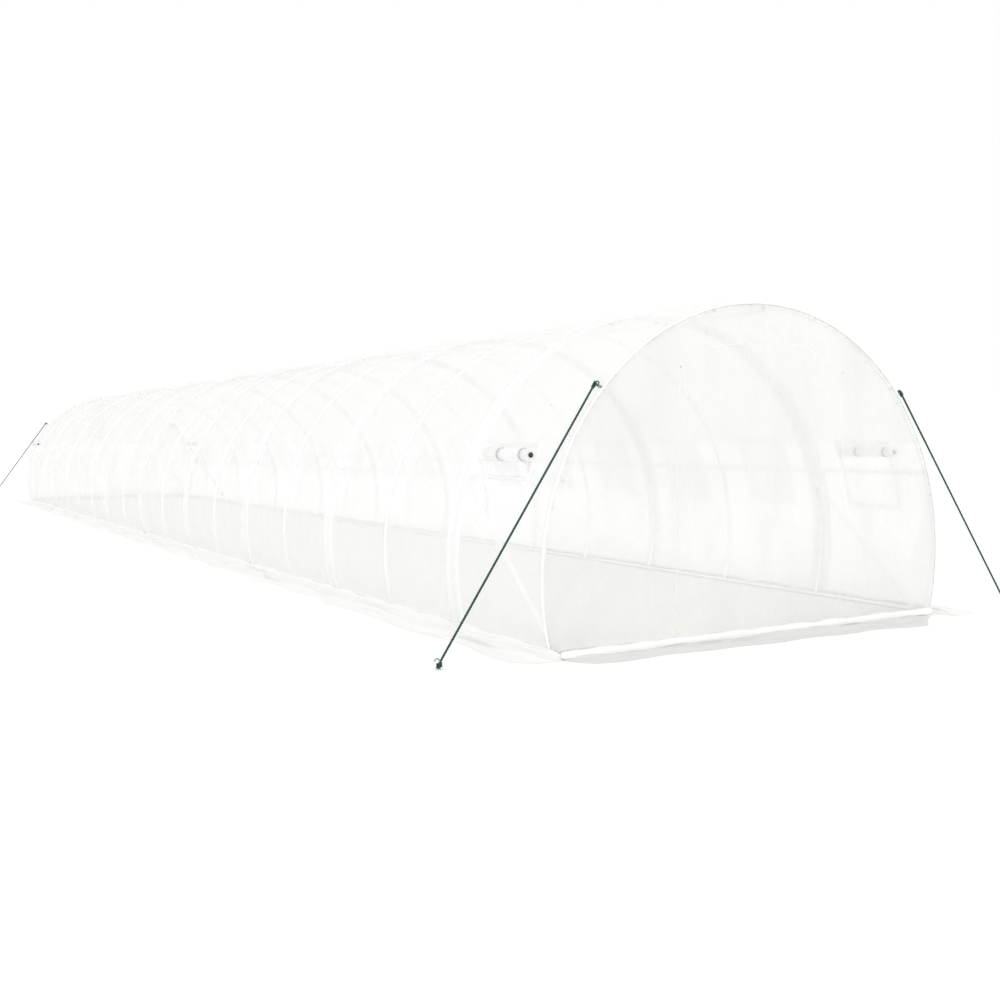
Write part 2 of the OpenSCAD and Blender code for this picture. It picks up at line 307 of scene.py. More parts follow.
# A face is left out where its middle lies in a window opening
mid_angle = (round_arch[1:] + round_arch[:-1])[:, None] / 2
mid_y = (along[1:] + along[:-1])[None, :] / 2
from_bay = np.abs((mid_y + HALF_LEN) % BAY - BAY / 2)
from_window = np.abs(np.abs(mid_angle - np.pi / 2) - (np.pi / 2 - (SILL + HEAD) / 2))
opening = (from_window < (HEAD - SILL) / 2) & (from_bay < WINDOW_HALF) & (np.abs(mid_y) < HALF_LEN)
cover_grid = cover_point(round_arch[:, None], along[None, :])
cover_flat = np.stack(np.broadcast_arrays(along[None, :], FILM_R * round_arch[:, None]), -1)
cover = skin("cover_film", [cover_grid], cover_film, keep=~opening, uv=[cover_flat])
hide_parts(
    "left_low_film", "left_window_film", "left_shoulder_film", "left_crown_film",
    "right_low_film", "right_window_film", "right_shoulder_film", "right_crown_film")

# Seam bands: where two lengths of film are welded together over every second hoop, the overlap makes
# a double band 170 mm wide with a weld line near each edge.
BAND_HALF, BAND_SHORT = 0.085, 0.02
band_film = film("doubled_polyethylene_film", "#FEFEFE", 0.26, back=0.42)
band_round = np.linspace(FOOT + BAND_SHORT, np.pi - FOOT - BAND_SHORT, 120)[:, None]
half_across = np.array([0.3, 0.74, 0.8, 0.97, 1.0]) * BAND_HALF
half_lift = np.array([0.0022, 0.0030, 0.0024, 0.0022, 0.0006])
band_across = np.concatenate([-half_across[::-1], half_across])[None, :]
band_lift = np.concatenate([half_lift[::-1], half_lift])[None, :]
band_grids = [cover_point(band_round, y + band_across, band_lift) for y in hoop_y[1::2]]
bands = skin("cover_seam_bands_film", band_grids, band_film)
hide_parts("cover_seam_bands")

# Arch piping: at each end the cover is hemmed round a cord that runs up and over the end hoop.
# The same film, doubled, about 14 mm thick.
PIPING_R = 0.007
# Hemmed film: layers that lie on each other round a cord hide what is behind, so it is off-white.
hemmed_film = film("hemmed_polyethylene_film", "#EFEFED", 0.0, back=0.0, uneven=0.0)
piping_round = np.linspace(FOOT, np.pi - FOOT, 140)[:, None]
turn = ring(10)[None, :]
piping = [
    arch(FILM_R + PIPING_R * np.cos(turn), piping_round, end * END_FACE + PIPING_R * np.sin(turn))
    for end in (-1, 1)
]
piping_piece = skin("arch_piping", piping, hemmed_film, closed=(False, True))

# Window nets: fine woven polyethylene net in every window, welded in behind the opening, so that air
# passes and insects don't. Its threads, 1.5 mm apart, are drawn 9 mm apart to show at all.
THREAD, NET_LAP, NET_SUNK = 0.009, 0.006, 0.0012
SIDES = ((-1, "left"), (1, "right"))
# A wave texture of scale 1 runs through 20 radians in a metre
thread_scale = 2 * np.pi / (20 * THREAD)
net, tree = new_material("woven_insect_net")
flat = add(tree, "ShaderNodeUVMap", uv_map="metres").outputs["UV"]
warp, weft = [
    add(tree, "ShaderNodeTexWave", {"Vector": flat, "Scale": thread_scale}, bands_direction=way)
    for way in ("X", "Y")
]
thread = add(tree, "ShaderNodeMath", {
    0: warp.outputs["Fac"], 1: weft.outputs["Fac"]}, operation="MAXIMUM")
open_share = add(tree, "ShaderNodeMapRange", {
    "Value": thread.outputs[0], "From Min": 0.55, "From Max": 0.85, "To Min": 0.93, "To Max": 0.80})
threads = add(tree, "ShaderNodeBsdfPrincipled", {
    "Base Color": linear("#DCDDDB"), "Roughness": 0.6, "IOR": 1.51})
holes = add(tree, "ShaderNodeBsdfTransparent")
both = add(tree, "ShaderNodeMixShader", {
    0: open_share.outputs["Result"], 1: threads.outputs[0], 2: holes.outputs[0]})
add(tree, "ShaderNodeOutputMaterial", {"Surface": both.outputs[0]})
bay_y = (hoop_y[1:] + hoop_y[:-1]) / 2


def window_grid(side, y, lap, rows, columns):
    """Angles and distances of a grid over one window opening, with a lap past it on all sides."""
    angle = np.linspace(SILL - lap / FILM_R, HEAD + lap / FILM_R, rows)[:, None]
    y = np.linspace(y - WINDOW_HALF - lap, y + WINDOW_HALF + lap, columns)[None, :]
    angle, y = np.broadcast_arrays(angle, y)
    return (angle, y) if side > 0 else (np.pi - angle[::-1], y)


for side, word in SIDES:
    grids = [window_grid(side, y, NET_LAP, 10, 12) for y in bay_y]
    net_flat = [np.stack([y, FILM_R * angle], -1) for angle, y in grids]
    behind = [cover_point(angle, y, -NET_SUNK) for angle, y in grids]
    skin(f"{word}_window_nets", behind, net, uv=net_flat)
    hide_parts(f"{word}_window_screens")

# Window hems: a band of doubled film welded round the opening, which keeps its edge from tearing. It
# shows where the flap is rolled up, and is 28 mm wide.
HEM_W = 0.028
end_bays = (bay_y[0], bay_y[-1])


def window_ring(side, y, steps=9):
    """Once round a window's edge in angle and distance, as four rings: a little inside the opening, at
    its edge, just short of HEM_W outside it and at HEM_W, where the hem lies down on the cover."""
    t = np.linspace(-1, 1, steps)[:-1]
    one = np.ones(steps - 1)
    p = np.concatenate([t, one, -t, -one])[None, :]
    q = np.concatenate([-one, t, one, -t])[None, :]
    out = np.array([-0.003, 0.0, HEM_W - 0.002, HEM_W])[:, None]
    lift = np.array([0.0, 0.0012, 0.0012, 0.0004])[:, None]
    angle = (SILL + HEAD) / 2 + q * ((HEAD - SILL) / 2 + out / FILM_R)
    y = y + p * (WINDOW_HALF + out)
    return cover_point(angle if side > 0 else np.pi - angle, y, lift)[:: -side]


for side, word in SIDES:
    edges = [window_ring(side, y) for y in end_bays]
    skin(f"{word}_window_hems", edges, band_film, closed=(False, True))

# Closed flaps: on all but the end bays a flap of the cover's film hangs down over the net and is
# pressed shut along its edges, so it bellies out a little in the middle.
FLAP_LAP, FLAP_LIFT, FLAP_BELLY, FLAP_STEPS = 0.045, 0.0035, 0.009, 14
flap_arc = np.sin(np.pi * np.linspace(0, 1, FLAP_STEPS)) ** 0.7
belly = FLAP_LIFT + FLAP_BELLY * flap_arc[:, None] * flap_arc[None, :]
for side, word in SIDES:
    grids = [window_grid(side, y, FLAP_LAP, FLAP_STEPS, FLAP_STEPS) for y in bay_y[1:-1]]
    shut = [
        cover_point(angle, y, belly * (1 + 0.25 * soft_waves(2.3 * y, 3.1 * angle)))
        for angle, y in grids
    ]
    skin(f"{word}_closed_flaps", shut, cover_film)
    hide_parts(f"{word}_window_flaps")

# Rolled flaps: in the end bays the flap is rolled up loosely to the head of its window, and held there
# by two ties that pull it in.
ROLL_R, ROLL_INNER, ROLL_CORE, ROLL_TURNS, ROLL_HALF = 0.040, 0.031, 0.012, 1.4, 0.240
# The roll's place: it hangs under the window's head, in a round space of its own outside the cover
ROLL_SPACE_R, ROLL_DROP = 0.042, 1.2
roll_z = CENTRE_Z + HEAD_RISE - ROLL_DROP * ROLL_SPACE_R
roll_centre_r = FILM_OUTER_R + ROLL_SPACE_R
roll_x = roll_centre_r * np.cos(np.arcsin((roll_z - CENTRE_Z) / roll_centre_r))
TIE_AT = np.array([-0.165, 0.080])
TIE_PULL, TIE_REACH, ROLL_SAG = 0.2, 0.028, 0.006
LEAVES_AT = np.radians(120)
SEAM_OVER_HEAD, SEAM_LIFT = 0.012, 0.002
FACE_SHARE, FACE_SUNK, FACE_STEP, LAYER = 0.97, 0.004, 0.002, 0.0085
# Rolled film: loose layers that glow with the light that comes through them from behind.
rolled_film = film("rolled_polyethylene_film", "#FEFEFE", 0.12, back=0.85, uneven=0.02)
rolled = np.linspace(0, 1, 90)[:, None]
roll_along = np.linspace(-ROLL_HALF, ROLL_HALF, 56)[None, :]


def flap_roll(side, y_middle, swap):
    """A spiral carried along the tunnel: its radius grows evenly with its turn, it is pulled in at the
    ties, swells between them, and its last strip runs up to the seam at the window's head. swap is -1
    where the ties lie the other way round."""
    tie = sum(np.exp(-(((roll_along * swap - at) / TIE_REACH) ** 2)) for at in TIE_AT)
    squeeze = 1 - TIE_PULL * tie + 0.05 * soft_waves(3 * roll_along + y_middle, side)
    turn = 2 * np.pi * ROLL_TURNS * rolled + LEAVES_AT - 2 * np.pi * ROLL_TURNS
    radius = (ROLL_INNER + (ROLL_R - ROLL_INNER) * rolled) * squeeze
    x = roll_x + radius * np.cos(turn)
    z = roll_z + radius * np.sin(turn) - ROLL_SAG * (1 - squeeze)
    seam = cover_point(HEAD + SEAM_OVER_HEAD, y_middle + roll_along, SEAM_LIFT)
    lead = np.linspace(0, 1, 7)[1:, None]
    x = np.concatenate([x, x[-1:] + (seam[..., 0] - x[-1:]) * lead])
    z = np.concatenate([z, z[-1:] + (seam[..., 2] - z[-1:]) * lead])
    points = np.stack(np.broadcast_arrays(side * x, y_middle + roll_along, z), -1)
    return points if side > 0 else points[::-1]


def roll_face(side, y_middle, face):
    """The roll's flat end: rings from the rod out to the last turn, stepped where the layers lie."""
    share = np.linspace(0, 1, 16)[:, None]
    turn = side * face * ring(40)[None, :]
    radius = ROLL_CORE + (FACE_SHARE * ROLL_R - ROLL_CORE) * share
    step = FACE_STEP * ((radius / LAYER + side * face * turn / (2 * np.pi)) % 1)
    return np.stack([
        side * (roll_x + radius * np.cos(turn)), y_middle + face * (ROLL_HALF - FACE_SUNK + step),
        roll_z + radius * np.sin(turn)], -1)


rolls, roll_ends = {}, {}
for side, word in SIDES:
    turned = [flap_roll(side, end_bays[0], 1), flap_roll(side, end_bays[1], -1)]
    rolls[word] = skin(f"{word}_rolled_flaps", turned, rolled_film)
    faces = [roll_face(side, y, face) for y in end_bays for face in (-1, 1)]
    roll_ends[word] = skin(f"{word}_roll_ends", faces, rolled_film, closed=(False, True))
    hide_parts(f"{word}_flap_rolls")

# Flap ties: a strap of woven webbing, 16 mm wide, sewn in at the head of the window, goes once round
# each roll at two places. It is grey-white and a little fuzzy.
RIBS_PER_MM = 0.6
webbing, tree = new_material("woven_webbing")
place = add(tree, "ShaderNodeTexCoord").outputs["Object"]
rib = add(tree, "ShaderNodeTexNoise", {"Vector": place, "Scale": 1000 * RIBS_PER_MM, "Detail": 2.0})
bump = add(tree, "ShaderNodeBump", {"Height": rib.outputs["Fac"], "Strength": 0.4, "Distance": 0.0006})
tone = add(tree, "ShaderNodeValToRGB", {"Fac": rib.outputs["Fac"]})
for stop, colour in zip(tone.color_ramp.elements, ("#A9ADAB", "#CDD0CE")):
    stop.color = linear(colour)
cloth = add(tree, "ShaderNodeBsdfPrincipled", {
    "Base Color": tone.outputs["Color"], "Roughness": 0.75, "Normal": bump.outputs["Normal"]})
add(tree, "ShaderNodeOutputMaterial", {"Surface": cloth.outputs[0]})
TIE_HALF, TIE_THICK, TIE_SHARE = 0.008, 0.0022, 0.84
TIE_FROM, TIE_TO = 115, -235
SLACK, SLACK_AT = 0.004, 2.2


def tie_loop(side, y):
    """A flat band carried round the roll, from the seam at the window's head out over it and back
    under, with a little slack on the side of the seam."""
    turn = np.radians(np.linspace(TIE_FROM, TIE_TO, 44))[:, None]
    across = np.array([-1.0, -1.0, 1.0, 1.0])[None, :] * TIE_HALF
    lift = np.array([0.0, TIE_THICK, TIE_THICK, 0.0])[None, :]
    radius = ROLL_R * TIE_SHARE + lift + SLACK * np.clip(np.cos(turn - SLACK_AT), 0, 1)
    x, z = roll_x + radius * np.cos(turn), roll_z + radius * np.sin(turn)
    return np.stack(np.broadcast_arrays(side * x, y + across, z), -1)[:: -side]


tie_loops = [
    tie_loop(side, end * (bay_y[-1] - at)) for side in (-1, 1) for end in (-1, 1) for at in TIE_AT]
ties = skin("flap_tie_straps", tie_loops, webbing, closed=(False, True))
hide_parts("flap_ties")

# Rod plugs: each flap is rolled up on a light rod, and a moulded plug closes the rod at both ends.
# Grey-black polyethylene, 30 mm across.
plug_black = moulded("black_polyethylene", "#2E3130")
plug_radius = np.array([0.0, 0.0090, 0.0138, 0.0150, 0.0150])[:, None]
plug_height = np.array([0.0040, 0.0038, 0.0026, 0.0004, -0.0080])[:, None]


def rod_plug(side, y, face):
    """A shallow dome turned round the rod's line at one end of a roll."""
    turn = side * face * ring(20)[None, :]
    return np.stack(np.broadcast_arrays(
        side * (roll_x + plug_radius * np.cos(turn)), y + face * (ROLL_HALF + plug_height),
        roll_z + plug_radius * np.sin(turn)), -1)


domes = [rod_plug(side, y, face) for side in (-1, 1) for y in end_bays for face in (-1, 1)]
rod_plugs = skin("roll_rod_plugs", domes, plug_black, closed=(False, True), merge=True)

# End walls: a sheet of clear film fills each end arch, welded to the piping, with folds that hang from
# the arch and run slantwise up from the corners. The door's opening is cut in the middle.
ENDS = ((-1, "front"), (1, "rear"))
END_R, DOOR_HALF, DOOR_R = FILM_R - FILM_HALF, 0.65, 1.326
END_EDGE = 0.0005
FADE, FOLDS_FROM_Z = 0.25, 0.03
END_BELLY, HANG_DEPTH, SLANT_DEPTH = 0.016, 0.008, 0.012
HANG_SPACING, HANG_FROM_Z = 0.36, 0.5
SLANT_SPACING, SLANT_LEAN, SLANT_TO_Z, SLANT_FULL_X = 0.30, 0.62, 1.15, 0.9
# Clear polyethylene film: thin and glossy, with hanging clouds where it is less clear. Over the same
# clouds its tint is painted darker, down to 0.9: painted shade of hanging folds.
end_film = film(
    "clear_polyethylene_film", "#F3F3F0", 0.58, crease=0.05, cloud=(3.4, 3.4, 1.3), uneven=0.10,
    shade=0.90)


def end_fold(x, z):
    """How far an end wall stands out: a slow belly, hanging folds that fade downwards, and slant folds
    low down on both sides. All of it fades out at the arch and at the ground."""
    from_arch = END_R - np.hypot(x, z - CENTRE_Z)
    inside = np.clip(from_arch / FADE, 0, 1) * np.clip((z - FOLDS_FROM_Z) / FADE, 0, 1)
    hang = np.sin(2 * np.pi * x / HANG_SPACING + 1.3 * soft_waves(0.6 * x, 0.5 * z))
    hang = hang * np.clip(z - HANG_FROM_Z, 0, 1)
    lean = SLANT_LEAN * np.abs(x) + z
    slant = np.sin(2 * np.pi * lean / SLANT_SPACING + 1.1 * soft_waves(x, z))
    slant = slant * np.clip(SLANT_TO_Z - z, 0, 1) * np.clip(np.abs(x) / SLANT_FULL_X, 0, 1)
    return inside * (END_BELLY + HANG_DEPTH * hang + SLANT_DEPTH * slant)


def end_patch(end, x, low, high, rows=46):
    """A grid between two heights at each x, pushed out of the end's plane by its folds."""
    t = np.linspace(0, 1, rows)[:, None]
    x, z = np.broadcast_arrays(x, low + (high - low) * t)
    y = end * (END_FACE + FILM_HALF + end_fold(x, z))
    return np.stack([x, y, z], -1)[:, ::-end]


side_x = DOOR_HALF + (END_R - END_EDGE - DOOR_HALF) * np.sin(np.linspace(0, np.pi / 2, 30))
side_half = np.sqrt(END_R ** 2 - side_x ** 2)
side_low = np.maximum(FILM_FOOT_Z, CENTRE_Z - side_half)
side_high = CENTRE_Z + side_half
door_x = np.linspace(-DOOR_HALF, DOOR_HALF, 42)
door_head = CENTRE_Z + np.sqrt(DOOR_R ** 2 - door_x ** 2)
arch_head = CENTRE_Z + np.sqrt(END_R ** 2 - door_x ** 2)
door_foot = np.full(len(door_x), FILM_FOOT_Z)
ends, doors = {}, {}
for end, word in ENDS:
    walls = [
        end_patch(end, side_x, side_low, side_high),
        end_patch(end, -side_x[::-1], side_low[::-1], side_high[::-1]),
        end_patch(end, door_x, door_head, arch_head, rows=14),
    ]
    ends[word] = skin(f"{word}_end_film", walls, end_film)
    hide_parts(f"{word}_side_panels", f"{word}_top_panel")
    door = end_patch(end, door_x, door_foot, door_head, rows=60)
    doors[word] = skin(f"{word}_door_film", [door], end_film)
    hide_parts(f"{word}_zip_door")

# Door zips: one zip up each side of the door and over its head, so that the door rolls up. White coil
# zip on a thin tape 20 mm wide, welded to the film.
ZIP_HALF, ZIP_FOOT_Z = 0.010, 0.01
# Nylon zip tape: woven so thin that light passes, with a fine rib 2 mm wide.
zip_tape = film("nylon_zip_tape", "#FBFBF9", 0.58, crease=0.002)
zip_across = np.array([-1.0, -0.95, -0.28, -0.22, 0.0, 0.22, 0.28, 0.95, 1.0]) * ZIP_HALF
zip_lift = np.array([0.0003, 0.0006, 0.0006, 0.0012, 0.0015, 0.0012, 0.0006, 0.0006, 0.0003])


def zip_run(end):
    """A tape with a raised coil, carried up one side of the door, over its head and down the other."""
    corner = np.arccos(DOOR_HALF / DOOR_R)
    rise = np.linspace(ZIP_FOOT_Z, CENTRE_Z + DOOR_R * np.sin(corner), 60)
    over = np.linspace(corner, np.pi - corner, 44)
    path = np.concatenate([
        np.stack([0 * rise + DOOR_HALF, rise], -1),
        np.stack([DOOR_R * np.cos(over), CENTRE_Z + DOOR_R * np.sin(over)], -1),
        np.stack([0 * rise - DOOR_HALF, rise[::-1]], -1)])
    ahead = np.gradient(path, axis=0)
    ahead /= np.linalg.norm(ahead, axis=1, keepdims=True)
    x = path[:, :1] + ahead[:, 1:] * zip_across
    z = path[:, 1:] - ahead[:, :1] * zip_across
    y = end * (END_FACE + FILM_HALF + end_fold(x, z) + zip_lift)
    return np.stack([x, y, z], -1)[:: -end]


for end, word in ENDS:
    skin(f"{word}_door_zip", [zip_run(end)], zip_tape)

# Foot hems: each end film runs out a hand's breadth over the ground and is rolled up there into a plump
# white hem 46 mm thick, which lies a little askew: further out at the left, seen from outside.
SLEEVE_R, SLEEVE_LEFT, SLEEVE_RIGHT = 0.023, -1.55, 1.44
SLEEVE_OUT, SLEEVE_SKEW, SLEEVE_TUCK, SLEEVE_LOWEST = 9.130, 0.036, 0.03, 0.0015
# Folded film: layers that lie on each other hide what is behind, so it is plain off-white.
folded_film = film("folded_polyethylene_film", "#EFEFEC", 0.0, back=0.0, uneven=0.0)


def hem_line(along):
    """How far out from the tunnel's middle the hem lies, at a distance to the right seen from outside."""
    return SLEEVE_OUT - SLEEVE_SKEW * along


def boxy(wave):
    """A sine or cosine that swings out sooner: its size raised to the power 0.6, with its sign."""
    return np.sign(wave) * np.abs(wave) ** 0.6


sleeve_along = np.linspace(SLEEVE_LEFT, SLEEVE_RIGHT, 120)[:, None]
turn = ring(18)[None, :]
for end, word in ENDS:
    plump = SLEEVE_R * (1 + 0.10 * soft_waves(4 * sleeve_along, end))
    ripple = plump * (1 + 0.04 * np.sin(9 * turn + 40 * sleeve_along))
    from_end = np.minimum(sleeve_along - SLEEVE_LEFT, SLEEVE_RIGHT - sleeve_along)
    tucked = np.clip(from_end / SLEEVE_TUCK, 0, 1) ** 0.5
    y = end * hem_line(sleeve_along) - end * tucked * ripple * boxy(np.cos(turn))
    z = np.maximum(SLEEVE_R + tucked * ripple * boxy(np.sin(turn)), SLEEVE_LOWEST)
    points = np.stack(np.broadcast_arrays(-end * sleeve_along, y, z), -1)
    skin(f"{word}_foot_sleeve", [points], folded_film, closed=(False, True), merge=True)

# Ground skirts: the film runs out over the ground on all four sides and is weighed down there. It lies
# in soft folds. The side skirts' corners are cut, and each end skirt has a round and a cut corner.
SIDE_SKIRT, SIDE_CUT, SIDE_RISE = 0.31, 0.09, 0.030
SIDE_HALF = HALF_LEN + 0.20
WALL_FOOT_X, SKIRT_FOOT_X, FOOT_LIFT = 1.4965, 1.5030, 0.001
END_SKIRT, END_LEFT, END_RIGHT, END_RISE = 0.35, -1.57, 1.33, 0.002
ROUND_FROM, ROUND_LEN = -1.40, 0.171
CUT_FROM, CUT_LEN, CUT_SHARE = 1.05, 0.28, 0.55
SKIRT_LIFT, SKIRT_LEAST, SKIRT_FALL, FLAT_ENDS = 0.0008, 0.002, 0.10, 0.12
FOLD_HEIGHT, RIPPLE_HEIGHT = 0.008, 0.002
# Skirt film: it lies on the ground in layers and hides it.
side_skirt_film = film("side_skirt_polyethylene_film", "#EEEEEB", 0.0, back=0.0, uneven=0.0)
# Painted shade: the end skirts' film is painted greyer than the side skirts' film.
painted_shade_end_skirts = film("end_skirt_painted_shade_film", "#D6D7D4", 0.0, back=0.0, uneven=0.0)


def skirt_height(t, run, rise, flat):
    """Height of a skirt at a share t of its width: it falls away from the wall in a hollow curve, and
    has folds along it and a flat edge. flat falls from 1 to 0 towards the skirt's two ends."""
    swell = rise * np.exp(-t / SKIRT_FALL) * (1 + 0.15 * soft_waves(2.2 * run, 0 * run))
    fold = FOLD_HEIGHT * np.sin(np.pi * t) * (1 + np.sin(15 * t + 2.0 * soft_waves(0.8 * run, 2 * t)))
    ripple = RIPPLE_HEIGHT * t * (1 + np.sin(9 * run + 3 * soft_waves(1.5 * run, t)))
    return SKIRT_LIFT + flat * (1 - t ** 6) * (SKIRT_LEAST + np.clip(swell + fold + ripple, 0, 1))


across = np.linspace(0, 1, 24)[:, None] ** 1.6
skirts = {}
run = np.linspace(-SIDE_HALF, SIDE_HALF, 400)[None, :]
corner = np.clip((SIDE_HALF - np.abs(run)) / SIDE_CUT, 0, 1)
flat = np.clip((SIDE_HALF - np.abs(run)) / FLAT_ENDS, 0, 1)
for side, word in SIDES:
    uneven = 1 + 0.05 * (soft_waves(1.3 * run, side) - 1)
    width = (SIDE_SKIRT - SIDE_CUT * (1 - corner)) * uneven
    x = side * (SKIRT_FOOT_X + across * (width - (SKIRT_FOOT_X - WALL_FOOT_X)))
    z = skirt_height(across, run + 5 * side, SIDE_RISE, flat)
    points = np.stack(np.broadcast_arrays(x, run, z), -1)
    down_the_wall = np.stack(np.broadcast_arrays(side * WALL_FOOT_X, run, FOOT_LIFT), -1)
    points = np.concatenate([down_the_wall, points])[:: -side]
    skirts[word] = skin(f"{word}_ground_skirt", [points], side_skirt_film)
    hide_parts(f"{word}_skirt")
run = np.linspace(END_LEFT, END_RIGHT, 120)[None, :]
left_round = np.sqrt(1 - np.clip((ROUND_FROM - run) / ROUND_LEN, 0, 1) ** 2)
right_cut = 1 - CUT_SHARE * np.clip((run - CUT_FROM) / CUT_LEN, 0, 1)
flat = np.clip(np.minimum(run - END_LEFT, END_RIGHT - run) / FLAT_ENDS, 0, 1)
for end, word in ENDS:
    uneven = 1 + 0.03 * (soft_waves(1.7 * run, 3 * end) - 1)
    y = END_FACE + across * END_SKIRT * left_round * right_cut * uneven
    z = skirt_height(across, run + 31 * end, END_RISE, flat)
    points = np.stack(np.broadcast_arrays(-end * run, end * y, z), -1)[::-1]
    skirts[word] = skin(f"{word}_ground_skirt", [points], painted_shade_end_skirts)
    # From the wall to the hem the skirt is the end wall's own clear film
    skirts[word].data.materials.append(end_film)
    behind_hem = ((y[1:] + y[:-1])[:, 1:] / 2 < hem_line(run[:, 1:]))[::-1]
    skirts[word].data.polygons.foreach_set("material_index", behind_hem.astype(np.int32).ravel())
    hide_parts(f"{word}_skirt")

# Guy ropes: a green laid rope of three strands at each corner, looped through a ring on the cover,
# knotted, drawn taut to its peg and wound round it. Polypropylene, 14 mm thick.
ROPE_R, LAY = 0.007, 0.046
FIBRES_PER_MM = 0.42
rope_green, tree = new_material("laid_polypropylene_rope")
place = add(tree, "ShaderNodeTexCoord").outputs["Object"]
fibre = add(tree, "ShaderNodeTexNoise", {
    "Vector": place, "Scale": 1000 * FIBRES_PER_MM, "Detail": 3.0})
tone = add(tree, "ShaderNodeValToRGB", {"Fac": fibre.outputs["Fac"]})
for stop, at, colour in zip(tone.color_ramp.elements, (0.3, 0.7), ("#0A2C20", "#1D5340")):
    stop.position = at
    stop.color = linear(colour)
bump = add(tree, "ShaderNodeBump", {
    "Height": fibre.outputs["Fac"], "Strength": 0.5, "Distance": 0.0008})
yarn = add(tree, "ShaderNodeBsdfPrincipled", {
    "Base Color": tone.outputs["Color"], "Roughness": 0.55, "Normal": bump.outputs["Normal"]})
add(tree, "ShaderNodeOutputMaterial", {"Surface": yarn.outputs[0]})
RING_ANGLE, RING_Y, RING_OFF = np.radians(41.5), 8.994, 0.0325
ROPE_TOP_R, ROPE_FOOT_Z = 1.5945, 0.029
LOOP_R, LOOP_ROPE_R = 0.012, 0.004
KNOT_R, KNOT_ROPE_R, KNOT_FROM, KNOT_LEN, KNOT_TURNS = 0.0075, 0.005, 0.002, 0.034, 3.5
PEG_X, PEG_Y = 2.19, 9.07
WIND_R, WIND_TURNS, WIND_START, WIND_TOP_Z, WIND_FALL = 0.0105, 1.8, 2.6, 0.033, 0.0245
TAIL_LEN, TAIL_FALL = 0.012, 0.001
ALONG, UP = np.array([0, 1.0, 0]), np.array([0, 0, 1.0])


def laid_rope(path, across, radius, sides=15):
    """Three touching strands carried along a path and twisted once each LAY metres. A strand's outline
    seen from the rope's middle is its centre's share along the ray plus the rest of its own circle."""
    ahead = np.gradient(path, axis=0)
    ahead /= np.linalg.norm(ahead, axis=1, keepdims=True)
    side = np.cross(ahead, across)
    side /= np.linalg.norm(side, axis=1, keepdims=True)
    up = np.cross(ahead, side)
    length = np.concatenate([[0], np.cumsum(np.linalg.norm(np.diff(path, axis=0), axis=1))])
    turn = ring(sides)[None, :]
    strand_r = radius / (1 + 2 / np.sqrt(3))
    centre_r = radius - strand_r
    third = (turn + np.pi / 3) % (2 * np.pi / 3) - np.pi / 3
    rest = np.sqrt(np.maximum(strand_r ** 2 - (centre_r * np.sin(third)) ** 2, 0))
    reach = (centre_r * np.cos(third) + rest)[..., None]
    spun = (turn + 2 * np.pi * length[:, None] / LAY)[..., None]
    offset = reach * (np.cos(spun) * side[:, None] + np.sin(spun) * up[:, None])
    shut = 0 * offset[:1]
    return np.concatenate([path[:1, None] + shut, path[:, None] + offset, path[-1:, None] + shut])


def rope_parts(side, end):
    """The loop through the ring, the knot's turns, the taut run, the turns round the peg and the tail:
    each is worked out at the front right corner and mirrored to its own."""
    mirror = np.array([side, -end, 1.0])
    radial = np.array([np.cos(RING_ANGLE), 0, np.sin(RING_ANGLE)])
    tangent = np.array([-np.sin(RING_ANGLE), 0, np.cos(RING_ANGLE)])
    tie = arch(FILM_OUTER_R, RING_ANGLE, -RING_Y)
    top = tie + (ROPE_TOP_R - FILM_OUTER_R) * radial
    low = np.array([PEG_X, -PEG_Y, ROPE_FOOT_Z])
    turn = np.linspace(0, 2 * np.pi, 40)[:, None]
    loop = tie + RING_OFF * radial + LOOP_R * (np.cos(turn) * radial + np.sin(turn) * tangent)
    down = (low - top) / np.linalg.norm(low - top)
    out = np.cross(down, ALONG)
    share = np.linspace(0, 1, 70)[:, None]
    turn = 2 * np.pi * KNOT_TURNS * share
    knot = top + down * (KNOT_FROM + KNOT_LEN * share)
    knot = knot + KNOT_R * (np.cos(turn) * out + np.sin(turn) * ALONG)
    taut = top + (low - top) * np.linspace(0, 1, 420)[:, None]
    share = np.linspace(0, 1, 110)[:, None]
    turn = 2 * np.pi * WIND_TURNS * share + WIND_START
    wound = np.concatenate([
        PEG_X + WIND_R * np.cos(turn), -PEG_Y + WIND_R * np.sin(turn), WIND_TOP_Z - WIND_FALL * share], 1)
    away = wound[-1] - wound[-2]
    away = np.array([away[0], away[1], 0]) / np.hypot(away[0], away[1])
    share = np.linspace(0, 1, 14)[:, None]
    tail = wound[-1] + away * TAIL_LEN * share - UP * TAIL_FALL * share
    routes = (
        (loop, ALONG, LOOP_ROPE_R), (knot, down * mirror, KNOT_ROPE_R), (taut, ALONG, ROPE_R),
        (wound, UP, ROPE_R), (tail, UP, ROPE_R))
    return [laid_rope(route * mirror, across, radius) for route, across, radius in routes]


strands = [part for side in (-1, 1) for end in (-1, 1) for part in rope_parts(side, end)]
ropes = skin("guy_rope_strands", strands, rope_green, closed=(False, True), merge=True)
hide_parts("guy_ropes")

